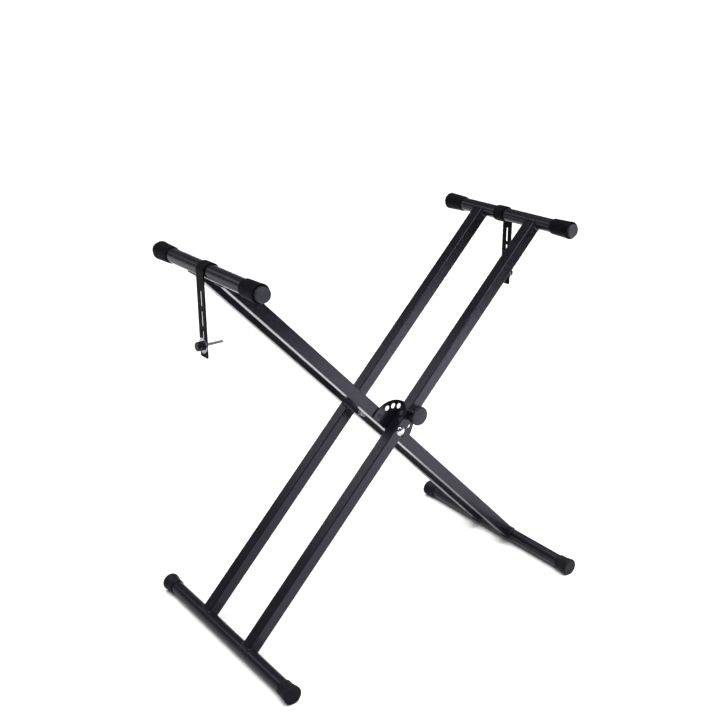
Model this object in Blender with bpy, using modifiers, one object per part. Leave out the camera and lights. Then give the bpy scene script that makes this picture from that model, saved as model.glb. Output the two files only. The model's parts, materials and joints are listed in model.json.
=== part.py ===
"""Double-braced folding X stand, for Blender 4.5, in metres with +Z up.

Two frames of square tube cross at two pivot bolts. The outer frame joins the left foot bar
to the right arm, and the inner frame joins the right foot bar to the left arm. A half-round
plate on the inner frame has seven holes for a sprung pin on the outer frame, which sets the
height. A slotted strap hangs from each arm, with a hold-down screw in its lowest slot.
The front is -Y. Run it with: blender --background --python part.py
"""

import math

import bmesh
import bpy
from mathutils import Vector

# Fits: CLEARANCE is left between pieces that touch, all over the stand.
CLEARANCE = 0.0003

# Legs: square tube, crossing at the pivots at this angle to the floor.
LEG_ANGLE = math.radians(45.86)
TUBE_SIZE = 0.025
TUBE_WALL = 0.0015
TUBE_CORNER = 0.0016
FOOT_REACH = 0.5079
ARM_REACH = 0.5036
OUTER_LEG_Y = 0.0765

# Foot bars and arms: round tube along Y.
BAR_RADIUS = 0.0135
BAR_WALL = 0.0015
FOOT_BAR_HALF = 0.2305
ARM_HALF = 0.1715

# Rubber caps on the foot bars, with a moulded flat where they stand.
CAP_WALL = 0.0042
CAP_NECK_WALL = 0.0012
CAP_FLAT_DEPTH = 0.0005
CAP_END_WALL = 0.0045
CAP_RIM = 0.0055
CAP_FLARE = 0.0085
CAP_NECK = 0.0153
CAP_ROUND = 0.0030

# Rubber grips and end plugs on the arms. The right grips stand further out.
GRIP_WALL = 0.0034
GRIP_MOUTH_WALL = 0.0018
GRIP_LENGTH = 0.0470
GRIP_CHAMFER = 0.0010
GRIP_OVERHANG = {"left": 0.0010, "right": 0.0060}
PLUG_INSET = 0.0005
PLUG_HEAD_LENGTH = 0.0107
PLUG_STEM_LENGTH = 0.0150
PLUG_ROUND = 0.0016

# Pivots: one bolt through each pair of legs.
BOLT_RADIUS = 0.0047
BOLT_HEAD_RADIUS = 0.0096
BOLT_HEAD_HEIGHT = 0.0044
BOLT_END = 0.0020
NUT_FLATS = 0.0170
NUT_HEIGHT = 0.0080
WASHER_RADIUS = 0.0100
WASHER_THICKNESS = 0.0012

# Lock plate on the front inner leg, and the sprung pin that enters its holes.
DISC_THICKNESS = 0.0025
DISC_RIM = 0.0065
DISC_SKIRT = 0.0115
HOLE_CIRCLE = 0.0430
HOLE_PLAY = 0.0005
HOLE_COUNT = 7
HOLE_IN_USE = 3
HOLE_PITCH = math.radians(19.5)
RIVET_HEAD_RADIUS = 0.0040
RIVET_HEAD_HEIGHT = 0.0006
RIVET_SHANK_RADIUS = 0.0022
RIVET_TAIL_RADIUS = 0.0034
RIVET_TAIL_HEIGHT = 0.0022
PIN_RADIUS = 0.0050
PIN_TIP_CHAMFER = 0.0007
SHOULDER_STEP = 0.0016
SHOULDER_THICKNESS = 0.0015
SHOULDER_SETBACK = 0.0040
HOUSING_RADIUS = 0.0160
HOUSING_HEIGHT = 0.0103
HOUSING_CHAMFER = 0.0012
NOSE_WALL = 0.0016
NOSE_DEPTH = 0.0070
KNOB_RADIUS = 0.0190
KNOB_THICKNESS = 0.0134
KNOB_CROWN = 0.0044
KNOB_FRONT_ROUND = 0.0036
KNOB_BACK_ROUND = 0.0012
SPRING_WIRE_RADIUS = 0.0004
SPRING_TURNS = 4

# Straps: a flat bar rolled round each arm into an eye, with a row of slots.
STRAP_WIDTH = 0.0250
STRAP_THICKNESS = 0.0025
STRAP_END = 0.0220
STRAP_CORNER = 0.0030
STRAP_Y = {"left": -0.0005, "right": 0.0140}
EYE_TURN = math.radians(290)
SLOT_PLAY = 0.0004
SLOT_LENGTH = 0.0300
SLOT_WEB = 0.0060
SLOT_COUNT = 3

# Screw in the lowest slot of each strap, with a washer and a plastic head.
SCREW_DROP = 0.1310
SCREW_RADIUS = 0.0025
SCREW_REACH = 0.0360
SCREW_TIP_CHAMFER = 0.0006
FENDER_RADIUS = 0.0140
FENDER_THICKNESS = 0.0012
HEAD_RADIUS = 0.0086
HEAD_LENGTH = 0.0120
HEAD_CROWN = 0.0040
HEAD_ROUND = 0.0014
HEAD_FLUTES = 6
FLUTE_RADIUS = 0.0030
FLUTE_DEPTH = 0.0009

# Sizes that follow from those above.
CAP_RADIUS = BAR_RADIUS + CLEARANCE + CAP_WALL
CAP_SEAT = CAP_RADIUS - CAP_FLAT_DEPTH
DISC_RADIUS = HOLE_CIRCLE + PIN_RADIUS + HOLE_PLAY + DISC_RIM
BOLT_BORE = BOLT_RADIUS + CLEARANCE
PIN_BORE = PIN_RADIUS + CLEARANCE
NOSE_RADIUS = PIN_BORE + NOSE_WALL
EYE_RADIUS = BAR_RADIUS + CLEARANCE
SLOT_WIDTH = 2 * SCREW_RADIUS + SLOT_PLAY
STRAP_DROP = SCREW_DROP + STRAP_END

# Places that follow from the sizes.
LEG_GAP = DISC_THICKNESS + RIVET_HEAD_HEIGHT + 3 * CLEARANCE
OUTER_FACE_Y = OUTER_LEG_Y + TUBE_SIZE / 2
OUTER_BACK_Y = OUTER_LEG_Y - TUBE_SIZE / 2
INNER_LEG_Y = OUTER_LEG_Y - TUBE_SIZE - LEG_GAP
INNER_FACE_Y = INNER_LEG_Y + TUBE_SIZE / 2
INNER_BACK_Y = INNER_LEG_Y - TUBE_SIZE / 2
DISC_FACE_Y = INNER_FACE_Y + CLEARANCE + DISC_THICKNESS
OUTER_AXIS = Vector((math.cos(LEG_ANGLE), 0.0, math.sin(LEG_ANGLE)))
INNER_AXIS = Vector((-math.cos(LEG_ANGLE), 0.0, math.sin(LEG_ANGLE)))
PIVOT = Vector((0.0, 0.0, CAP_SEAT + FOOT_REACH * math.sin(LEG_ANGLE)))
LOCK_POINT = PIVOT + OUTER_AXIS * HOLE_CIRCLE

# Which way each side of the stand lies, and the turn that aims a piece's +Z there.
SIDE = {"left": -1, "right": 1}
END = {"front": -1, "rear": 1}
AIM = {
    "front": (math.pi / 2, 0.0, 0.0),
    "rear": (-math.pi / 2, 0.0, 0.0),
    "left": (0.0, -math.pi / 2, 0.0),
    "right": (0.0, math.pi / 2, 0.0),
}

# Each finish is a colour, a roughness and a metallic value.
BLACK_COAT = ((0.016, 0.015, 0.020), 0.30, 0.0)
BLACK_RUBBER = ((0.012, 0.012, 0.013), 0.60, 0.0)
BLACK_PLASTIC = ((0.014, 0.014, 0.016), 0.42, 0.0)
ZINC = ((0.60, 0.60, 0.62), 0.28, 1.0)
SPRING_STEEL = ((0.35, 0.35, 0.36), 0.35, 1.0)

# Round faces are shaded smooth up to this angle between neighbours.
SMOOTH_ANGLE = math.radians(32)


def clear_scene():
    for obj in list(bpy.data.objects):
        bpy.data.objects.remove(obj, do_unlink=True)
    for collection in list(bpy.data.collections):
        bpy.data.collections.remove(collection)


def file_under(obj, title):
    """Move an object into the collection with this title."""
    collection = bpy.data.collections.get(title)
    if collection is None:
        collection = bpy.data.collections.new(title)
        bpy.context.scene.collection.children.link(collection)
    for other in list(obj.users_collection):
        other.objects.unlink(obj)
    collection.objects.link(obj)


def hang(obj, holder):
    """Parent an object to another and leave it where it is."""
    bpy.context.view_layer.update()
    obj.parent = holder
    obj.matrix_parent_inverse = holder.matrix_world.inverted()


def place(obj, location, aim=None):
    obj.location = location
    if aim is not None:
        obj.rotation_euler = AIM[aim]
    return obj


def finished(obj, finish, holder):
    """Give a placed piece a material of its own, and hang it on the empty that moves it."""
    colour, roughness, metallic = finish
    material = bpy.data.materials.new(obj.name)
    material.use_nodes = True
    shader = material.node_tree.nodes["Principled BSDF"]
    shader.inputs["Base Color"].default_value = (*colour, 1.0)
    shader.inputs["Roughness"].default_value = roughness
    shader.inputs["Metallic"].default_value = metallic
    material.diffuse_color = (*colour, 1.0)
    obj.data.materials.clear()
    obj.data.materials.append(material)
    file_under(obj, "double_x_keyboard_stand")
    hang(obj, holder)
    return obj


def axis_empty(name, location, holder=None):
    """An empty on a joint's axis, which carries the pieces of one moving group."""
    empty = bpy.data.objects.new(name, None)
    empty.empty_display_size = 0.03
    file_under(place(empty, location), "double_x_keyboard_stand")
    if holder is not None:
        hang(empty, holder)
    return empty


def as_mesh(obj):
    """Make a curve, or a mesh with modifiers, a plain mesh object with merged points."""
    bpy.context.view_layer.update()
    evaluated = obj.evaluated_get(bpy.context.evaluated_depsgraph_get())
    mesh = bpy.data.meshes.new_from_object(evaluated)
    work = bmesh.new()
    work.from_mesh(mesh)
    bmesh.ops.remove_doubles(work, verts=work.verts, dist=0.000001)
    bmesh.ops.recalc_face_normals(work, faces=work.faces)
    work.to_mesh(mesh)
    work.free()
    mesh.shade_smooth()
    mesh.set_sharp_from_angle(angle=SMOOTH_ANGLE)
    name = obj.name
    matrix = obj.matrix_world.copy()
    bpy.data.objects.remove(obj, do_unlink=True)
    result = bpy.data.objects.new(name, mesh)
    result.matrix_world = matrix
    bpy.context.scene.collection.objects.link(result)
    return result


def cut(obj, cutters):
    """Cut a piece, once it is in its place, with cutters that stay hidden beside it."""
    for cutter in cutters:
        cutter.hide_render = True
        cutter.display_type = "WIRE"
        file_under(cutter, "cutters")
        hang(cutter, obj)
        boolean = obj.modifiers.new(cutter.name, "BOOLEAN")
        boolean.operation = "DIFFERENCE"
        boolean.solver = "EXACT"
        boolean.object = cutter
    return obj


def arc(centre, radius, start, turn, steps):
    """Points on an arc in a plane, both ends included."""
    angles = [start + turn * step / steps for step in range(steps + 1)]
    return [(centre[0] + radius * math.cos(a), centre[1] + radius * math.sin(a)) for a in angles]


def circle(centre, radius, steps=20):
    return arc(centre, radius, 0.0, math.tau, steps)[:-1]


def rounded_square(size, radius):
    reach = size / 2 - radius
    points = []
    for quarter, (x, y) in enumerate([(1, 1), (-1, 1), (-1, -1), (1, -1)]):
        points += arc((x * reach, y * reach), radius, quarter * math.pi / 2, math.pi / 2, 3)
    return points


def extruded(name, outlines, depth):
    """A flat plate in the XY plane, centred on it; outlines after the first are holes."""
    curve = bpy.data.curves.new(name, "CURVE")
    curve.dimensions = "2D"
    curve.fill_mode = "BOTH"
    curve.extrude = depth / 2
    for outline in outlines:
        spline = curve.splines.new("POLY")
        spline.points.add(len(outline) - 1)
        for point, (x, y) in zip(spline.points, outline):
            point.co = (x, y, 0.0, 1.0)
        spline.use_cyclic_u = True
    obj = bpy.data.objects.new(name, curve)
    bpy.context.scene.collection.objects.link(obj)
    return as_mesh(obj)


def turned(name, profile, steps=28, ring=False):
    """A turned piece about Z. Its profile holds (radius, height) from the top down."""
    mesh = bpy.data.meshes.new(name)
    edges = [(i, i + 1) for i in range(len(profile) - 1)]
    if ring:
        edges.append((len(profile) - 1, 0))
    mesh.from_pydata([(radius, 0.0, height) for radius, height in profile], edges, [])
    obj = bpy.data.objects.new(name, mesh)
    bpy.context.scene.collection.objects.link(obj)
    screw = obj.modifiers.new("turn", "SCREW")
    screw.steps = steps
    screw.render_steps = steps
    screw.use_merge_vertices = True
    screw.merge_threshold = 0.00001
    return as_mesh(obj)


def round_cutter(name, radius, low, high, steps=28):
    bpy.ops.mesh.primitive_cylinder_add(
        vertices=steps, radius=radius, depth=high - low, location=(0.0, 0.0, (low + high) / 2)
    )
    obj = bpy.context.object
    obj.name = name
    bpy.ops.object.transform_apply(location=True, rotation=False, scale=False)
    return obj


def block_cutter(name, size, location):
    bpy.ops.mesh.primitive_cube_add(size=1.0, location=location)
    obj = bpy.context.object
    obj.name = name
    obj.scale = size
    bpy.ops.object.transform_apply(location=False, rotation=False, scale=True)
    return obj


def flat_ring(name, outer, inner, thickness):
    """A washer or spacer that rises from its own origin along Z."""
    profile = [(outer, thickness), (outer, 0.0), (inner, 0.0), (inner, thickness)]
    return turned(name, profile, ring=True)


def leg(name, axis, y, end, group, bores):
    """A square tube from bar to bar, coped to both, with the bores that cross it."""
    outlines = [
        rounded_square(TUBE_SIZE, TUBE_CORNER),
        rounded_square(TUBE_SIZE - 2 * TUBE_WALL, TUBE_CORNER / 2),
    ]
    obj = extruded(name, outlines, FOOT_REACH + ARM_REACH)
    foot = PIVOT - axis * FOOT_REACH
    arm = PIVOT + axis * ARM_REACH
    obj.rotation_euler = axis.to_track_quat("Z", "Y").to_euler()
    obj.location = (foot + arm) / 2 + Vector((0.0, y, 0.0))
    cutters = []
    for point in (foot, arm):
        cope = round_cutter(name + "_cope", EYE_RADIUS, -TUBE_SIZE, TUBE_SIZE, 48)
        cutters.append(place(cope, (point.x, y, point.z), end))
    for point, radius, low, high in bores:
        bore = round_cutter(name + "_bore", radius, low, high)
        cutters.append(place(bore, (point.x, y, point.z), end))
    cut(obj, cutters)
    return finished(obj, BLACK_COAT, group)


def bar(name, half, location, group):
    """A round tube along Y."""
    inside = BAR_RADIUS - BAR_WALL
    profile = [(BAR_RADIUS, half), (BAR_RADIUS, -half), (inside, -half), (inside, half)]
    tube = turned(name, profile, steps=48, ring=True)
    return finished(place(tube, location, "rear"), BLACK_COAT, group)


def foot_cap(name, foot, end, group):
    """A flared rubber cap over the end of a foot bar, flat where it stands on the floor."""
    neck = EYE_RADIUS + CAP_NECK_WALL
    flare = CAP_ROUND + CAP_RIM + CAP_FLARE
    length = flare + CAP_NECK
    profile = [(0.0, 0.0)]
    profile += arc((CAP_RADIUS - CAP_ROUND, -CAP_ROUND), CAP_ROUND, math.pi / 2, -math.pi / 2, 3)
    profile += [
        (CAP_RADIUS, -CAP_ROUND - CAP_RIM),
        (neck + CAP_NECK_WALL / 2, -flare),
        (neck, -length),
        (EYE_RADIUS, -length),
        (EYE_RADIUS, -CAP_END_WALL),
        (0.0, -CAP_END_WALL),
    ]
    cap = turned(name, profile, steps=32)
    face = END[end] * (FOOT_BAR_HALF + CLEARANCE + CAP_END_WALL)
    place(cap, foot + Vector((0.0, face, 0.0)), end)
    size = (4 * CAP_RADIUS, 4 * length, CAP_RADIUS)
    below = Vector((foot.x, face, foot.z - CAP_SEAT - CAP_RADIUS / 2))
    cut(cap, [block_cutter(name + "_flat", size, below)])
    return finished(cap, BLACK_RUBBER, group)


def arm_grip(name, side, end, arm, group):
    """A rubber sleeve on which the load rests, thinner at its inner end."""
    outside = EYE_RADIUS + GRIP_WALL
    mouth = EYE_RADIUS + GRIP_MOUTH_WALL
    profile = [
        (outside - GRIP_CHAMFER, GRIP_LENGTH),
        (outside, GRIP_LENGTH - GRIP_CHAMFER),
        (mouth, GRIP_CHAMFER),
        (mouth - GRIP_CHAMFER, 0.0),
        (EYE_RADIUS, 0.0),
        (EYE_RADIUS, GRIP_LENGTH),
    ]
    grip = turned(name, profile, steps=32, ring=True)
    start = END[end] * (ARM_HALF + GRIP_OVERHANG[side] - GRIP_LENGTH)
    place(grip, arm + Vector((0.0, start, 0.0)), end)
    return finished(grip, BLACK_RUBBER, group)


def arm_plug(name, end, arm, group):
    """A round plug with its stem in the open end of an arm."""
    stem = BAR_RADIUS - BAR_WALL - CLEARANCE
    head = BAR_RADIUS - PLUG_INSET
    top = PLUG_HEAD_LENGTH
    profile = [(0.0, top)]
    profile += arc((head - PLUG_ROUND, top - PLUG_ROUND), PLUG_ROUND, math.pi / 2, -math.pi / 2, 3)
    profile += [
        (head, 0.0),
        (stem, 0.0),
        (stem, -PLUG_STEM_LENGTH),
        (0.0, -PLUG_STEM_LENGTH),
    ]
    plug = turned(name, profile)
    mouth = END[end] * (ARM_HALF + CLEARANCE)
    place(plug, arm + Vector((0.0, mouth, 0.0)), end)
    return finished(plug, BLACK_PLASTIC, group)


def pivot_set(end, group):
    """The bolt, washer, nut and spacer that join one outer leg to one inner leg."""
    def at(distance):
        return PIVOT + Vector((0.0, END[end] * distance, 0.0))

    seat = OUTER_FACE_Y + CLEARANCE
    washer_foot = INNER_BACK_Y - CLEARANCE - WASHER_THICKNESS
    nut_foot = washer_foot - CLEARANCE - NUT_HEIGHT
    tip = nut_foot - BOLT_END
    dome = (BOLT_HEAD_RADIUS ** 2 + BOLT_HEAD_HEIGHT ** 2) / (2 * BOLT_HEAD_HEIGHT)
    spread = math.asin(BOLT_HEAD_RADIUS / dome)
    profile = arc((0.0, BOLT_HEAD_HEIGHT - dome), dome, math.pi / 2, -spread, 6)
    profile += [(BOLT_RADIUS, 0.0), (BOLT_RADIUS, tip - seat), (0.0, tip - seat)]
    bolt = turned("pivot_bolt_" + end, profile)
    finished(place(bolt, at(seat), end), ZINC, group)

    washer = flat_ring("pivot_washer_" + end, WASHER_RADIUS, BOLT_BORE, WASHER_THICKNESS)
    finished(place(washer, at(washer_foot), end), ZINC, group)

    hexagon = circle((0, 0), NUT_FLATS / math.sqrt(3), 6)
    nut = extruded("pivot_nut_" + end, [hexagon, circle((0, 0), BOLT_BORE)], NUT_HEIGHT)
    finished(place(nut, at(nut_foot + NUT_HEIGHT / 2), end), ZINC, group)

    low = CLEARANCE + (DISC_FACE_Y if end == "front" else INNER_FACE_Y)
    height = OUTER_BACK_Y - CLEARANCE - low
    spacer = flat_ring("pivot_spacer_" + end, WASHER_RADIUS, BOLT_BORE, height)
    finished(place(spacer, at(low), end), ZINC, group)


def rivet_points():
    return {
        "upper": PIVOT + INNER_AXIS * HOLE_CIRCLE,
        "lower": PIVOT - INNER_AXIS * HOLE_CIRCLE,
    }


def lock_disc(group):
    """The half-round plate, with its skirt down to the lower edge of the inner leg."""
    skirt = math.asin(DISC_SKIRT / DISC_RADIUS)
    outlines = [arc((0, 0), DISC_RADIUS, -skirt, math.pi + 2 * skirt, 40)]
    outlines.append(circle((0, 0), BOLT_BORE))
    for hole in range(HOLE_COUNT):
        angle = 2 * LEG_ANGLE - (hole - HOLE_IN_USE) * HOLE_PITCH
        centre = (HOLE_CIRCLE * math.cos(angle), HOLE_CIRCLE * math.sin(angle))
        outlines.append(circle(centre, PIN_RADIUS + HOLE_PLAY))
    for side in (-1, 1):
        outlines.append(circle((side * HOLE_CIRCLE, 0), RIVET_SHANK_RADIUS + CLEARANCE, 16))
    disc = extruded("lock_disc", outlines, DISC_THICKNESS)
    disc.rotation_euler = (math.pi / 2, LEG_ANGLE, 0.0)
    disc.location = PIVOT + Vector((0.0, DISC_THICKNESS / 2 - DISC_FACE_Y, 0.0))
    return finished(disc, BLACK_COAT, group)


def disc_rivets(group):
    """Two rivets hold the plate to the front wall of the inner leg."""
    head = CLEARANCE + RIVET_HEAD_HEIGHT
    tail = INNER_FACE_Y - TUBE_WALL - CLEARANCE - DISC_FACE_Y
    for name, point in rivet_points().items():
        profile = [
            (0.0, head),
            (RIVET_HEAD_RADIUS * 0.7, head),
            (RIVET_HEAD_RADIUS, CLEARANCE + RIVET_HEAD_HEIGHT * 0.4),
            (RIVET_HEAD_RADIUS, CLEARANCE),
            (RIVET_SHANK_RADIUS, CLEARANCE),
            (RIVET_SHANK_RADIUS, tail),
            (RIVET_TAIL_RADIUS, tail),
            (RIVET_TAIL_RADIUS, tail - RIVET_TAIL_HEIGHT),
            (0.0, tail - RIVET_TAIL_HEIGHT),
        ]
        rivet = turned("disc_rivet_" + name, profile, steps=20)
        finished(place(rivet, (point.x, -DISC_FACE_Y, point.z), "front"), BLACK_COAT, group)


def lock_piece(obj, finish, group):
    """Set a piece of the lock on the front face of the outer leg, aimed forwards."""
    place(obj, (LOCK_POINT.x, -OUTER_FACE_Y, LOCK_POINT.z), "front")
    return finished(obj, finish, group)


def lock_housing(group):
    """A round seat on the front outer leg, with a nose that guides the pin."""
    top = HOUSING_HEIGHT
    profile = [
        (HOUSING_RADIUS - HOUSING_CHAMFER, top),
        (HOUSING_RADIUS, top - HOUSING_CHAMFER),
        (HOUSING_RADIUS, CLEARANCE),
        (NOSE_RADIUS, CLEARANCE),
        (NOSE_RADIUS, -NOSE_DEPTH),
        (PIN_BORE, -NOSE_DEPTH),
        (PIN_BORE, top),
    ]
    lock_piece(turned("lock_housing", profile, ring=True), BLACK_PLASTIC, group)


def lock_knob(group):
    """The round pull knob, with a blind bore for the pin."""
    low = HOUSING_HEIGHT + CLEARANCE
    top = low + KNOB_THICKNESS
    front = (KNOB_RADIUS - KNOB_FRONT_ROUND, top - KNOB_FRONT_ROUND)
    back = (KNOB_RADIUS - KNOB_BACK_ROUND, low + KNOB_BACK_ROUND)
    profile = [(0.0, top)]
    profile += arc(front, KNOB_FRONT_ROUND, math.pi / 2, -math.pi / 2, 4)
    profile += arc(back, KNOB_BACK_ROUND, 0.0, -math.pi / 2, 2)
    profile += [
        (PIN_BORE, low),
        (PIN_BORE, top - KNOB_CROWN + CLEARANCE),
        (0.0, top - KNOB_CROWN + CLEARANCE),
    ]
    lock_piece(turned("lock_knob", profile, steps=36), BLACK_PLASTIC, group)


def lock_pin(group):
    """The pin, drawn flush with the back of the leg, with a shoulder for its spring."""
    tip = -TUBE_SIZE
    shoulder = tip + SHOULDER_SETBACK
    step = PIN_RADIUS + SHOULDER_STEP
    top = HOUSING_HEIGHT + CLEARANCE + KNOB_THICKNESS - KNOB_CROWN
    profile = [
        (0.0, top),
        (PIN_RADIUS, top),
        (PIN_RADIUS, shoulder + SHOULDER_THICKNESS),
        (step, shoulder + SHOULDER_THICKNESS),
        (step, shoulder),
        (PIN_RADIUS, shoulder),
        (PIN_RADIUS, tip + PIN_TIP_CHAMFER),
        (PIN_RADIUS - PIN_TIP_CHAMFER, tip),
        (0.0, tip),
    ]
    lock_piece(turned("lock_pin", profile, steps=24), ZINC, group)


def lock_spring(group):
    """A coil spring between the nose of the housing and the shoulder of the pin."""
    margin = CLEARANCE + SPRING_WIRE_RADIUS
    low = -TUBE_SIZE + SHOULDER_SETBACK + SHOULDER_THICKNESS + margin
    high = -NOSE_DEPTH - margin
    radius = PIN_RADIUS + margin
    curve = bpy.data.curves.new("lock_spring", "CURVE")
    curve.dimensions = "3D"
    curve.bevel_depth = SPRING_WIRE_RADIUS
    curve.bevel_resolution = 1
    curve.use_fill_caps = True
    spline = curve.splines.new("POLY")
    count = SPRING_TURNS * 12
    spline.points.add(count)
    for step, point in enumerate(spline.points):
        angle = math.tau * SPRING_TURNS * step / count
        height = low + (high - low) * step / count
        point.co = (radius * math.cos(angle), radius * math.sin(angle), height, 1.0)
    obj = bpy.data.objects.new("lock_spring", curve)
    bpy.context.scene.collection.objects.link(obj)
    lock_piece(as_mesh(obj), SPRING_STEEL, group)


def strap(side, arm, group):
    """A slotted flat bar on the outer side of the arm, rolled round it at the top."""
    outer = EYE_RADIUS + STRAP_THICKNESS
    outline = [(-outer, -STRAP_DROP)]
    outline += arc((0, 0), outer, math.pi, -EYE_TURN, 30)
    outline += arc((0, 0), EYE_RADIUS, math.pi - EYE_TURN, EYE_TURN, 30)
    outline += [(-EYE_RADIUS, -STRAP_DROP)]
    outline = [(-SIDE[side] * x, z) for x, z in outline]
    obj = extruded("strap_" + side, [outline], STRAP_WIDTH)
    round_strap_end(obj)
    place(obj, arm + Vector((0.0, STRAP_Y[side], 0.0)), "front")
    straight = (SLOT_LENGTH - SLOT_WIDTH) / 2
    slot = arc((0, straight), SLOT_WIDTH / 2, 0.0, math.pi, 8)
    slot += arc((0, -straight), SLOT_WIDTH / 2, math.pi, math.pi, 8)
    lowest = SCREW_DROP + SLOT_WIDTH / 2 - SLOT_LENGTH / 2
    middle = SIDE[side] * (EYE_RADIUS + STRAP_THICKNESS / 2)
    cutters = []
    for number in range(SLOT_COUNT):
        cutter = extruded("slot_" + side, [slot], 4 * STRAP_THICKNESS)
        cutter.rotation_euler = (math.pi / 2, 0.0, math.pi / 2)
        drop = lowest - number * (SLOT_LENGTH + SLOT_WEB)
        cutter.location = obj.location + Vector((middle, 0.0, -drop))
        cutters.append(cutter)
    cut(obj, cutters)
    return finished(obj, BLACK_COAT, group)


def round_strap_end(obj):
    """Round the two lower corners of a strap that still lies in the XY plane."""
    work = bmesh.new()
    work.from_mesh(obj.data)
    low = min(vertex.co.y for vertex in work.verts)
    corners = [
        edge
        for edge in work.edges
        if all(abs(vertex.co.y - low) < 1e-6 for vertex in edge.verts)
        and abs(edge.verts[0].co.z - edge.verts[1].co.z) < 1e-6
    ]
    bmesh.ops.bevel(work, geom=corners, offset=STRAP_CORNER, segments=4, profile=0.5, affect="EDGES")
    work.to_mesh(obj.data)
    work.free()


def strap_screw(side, point, washer_group, screw_group):
    """The screw, its washer and its fluted plastic head, in the lowest slot."""
    def out(distance):
        return point + Vector((SIDE[side] * distance, 0.0, 0.0))

    bore = SCREW_RADIUS + CLEARANCE
    washer_foot = EYE_RADIUS + STRAP_THICKNESS + CLEARANCE
    washer = flat_ring("strap_washer_" + side, FENDER_RADIUS, bore, FENDER_THICKNESS)
    finished(place(washer, out(washer_foot), side), ZINC, washer_group)

    seat = washer_foot + FENDER_THICKNESS + CLEARANCE
    tip = EYE_RADIUS - SCREW_REACH - seat
    top = HEAD_LENGTH - HEAD_CROWN
    profile = [
        (0.0, top),
        (SCREW_RADIUS, top),
        (SCREW_RADIUS, tip + SCREW_TIP_CHAMFER),
        (SCREW_RADIUS - SCREW_TIP_CHAMFER, tip),
        (0.0, tip),
    ]
    screw = turned("strap_screw_" + side, profile, steps=20)
    finished(place(screw, out(seat), side), ZINC, screw_group)

    crown = (HEAD_RADIUS - HEAD_ROUND, HEAD_LENGTH - HEAD_ROUND)
    profile = [(0.0, HEAD_LENGTH)]
    profile += arc(crown, HEAD_ROUND, math.pi / 2, -math.pi / 2, 3)
    profile += [
        (HEAD_RADIUS, 0.0),
        (bore, 0.0),
        (bore, top + CLEARANCE),
        (0.0, top + CLEARANCE),
    ]
    head = place(turned("strap_screw_head_" + side, profile, steps=30), out(seat), side)
    reach = HEAD_RADIUS + FLUTE_RADIUS - FLUTE_DEPTH
    flutes = []
    for number in range(HEAD_FLUTES):
        angle = math.tau * (number + 0.5) / HEAD_FLUTES
        flute = round_cutter("flute_" + side, FLUTE_RADIUS, -HEAD_LENGTH, 2 * HEAD_LENGTH, 12)
        across = Vector((0.0, reach * math.cos(angle), reach * math.sin(angle)))
        flutes.append(place(flute, out(seat) + across, side))
    cut(head, flutes)
    finished(head, BLACK_PLASTIC, screw_group)


def build_frame(name, axis, leg_y, foot_side, arm_side, front_bores, rear_bores, group):
    """Two legs, the foot bar at their lower end, the arm at their upper end and their caps."""
    foot = PIVOT - axis * FOOT_REACH
    arm = PIVOT + axis * ARM_REACH
    leg(name + "_leg_front", axis, -leg_y, "front", group, front_bores)
    leg(name + "_leg_rear", axis, leg_y, "rear", group, rear_bores)
    bar("foot_bar_" + foot_side, FOOT_BAR_HALF, foot, group)
    bar("arm_" + arm_side, ARM_HALF, arm, group)
    for end in ("front", "rear"):
        foot_cap("foot_cap_" + foot_side + "_" + end, foot, end, group)
        arm_grip("arm_grip_" + arm_side + "_" + end, arm_side, end, arm, group)
        arm_plug("arm_plug_" + arm_side + "_" + end, end, arm, group)
    return arm


def main():
    clear_scene()
    outer = axis_empty("outer_frame", PIVOT)
    inner = axis_empty("inner_frame", PIVOT, outer)
    pull = axis_empty("lock_pull", (LOCK_POINT.x, -OUTER_FACE_Y, LOCK_POINT.z), outer)

    pivot_bore = (PIVOT, BOLT_BORE, -TUBE_SIZE, TUBE_SIZE)
    nose_bore = (LOCK_POINT, NOSE_RADIUS + CLEARANCE, 0.0, TUBE_SIZE)
    pin_bore = (LOCK_POINT, PIN_BORE, -TUBE_SIZE, 0.0)
    rivet_radius = RIVET_SHANK_RADIUS + CLEARANCE
    rivet_bores = [(point, rivet_radius, 0.0, TUBE_SIZE) for point in rivet_points().values()]

    right_arm = build_frame(
        "outer", OUTER_AXIS, OUTER_LEG_Y, "left", "right",
        [pivot_bore, nose_bore, pin_bore], [pivot_bore], outer,
    )
    left_arm = build_frame(
        "inner", INNER_AXIS, INNER_LEG_Y, "right", "left",
        [pivot_bore] + rivet_bores, [pivot_bore], inner,
    )
    pivot_set("front", outer)
    pivot_set("rear", outer)
    lock_disc(inner)
    disc_rivets(inner)
    lock_housing(outer)
    lock_spring(outer)
    lock_knob(pull)
    lock_pin(pull)

    for side, arm, frame in (("left", left_arm, inner), ("right", right_arm, outer)):
        swing = axis_empty("strap_swing_" + side, arm, frame)
        strap(side, arm, swing)
        point = arm + Vector((0.0, STRAP_Y[side], -SCREW_DROP))
        slide = axis_empty("screw_slide_" + side, point, swing)
        turn = axis_empty("screw_turn_" + side, point, slide)
        strap_screw(side, point, slide, turn)


main()
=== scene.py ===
"""Double-braced folding X stand: its finished surfaces, materials, stage and camera."""

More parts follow.
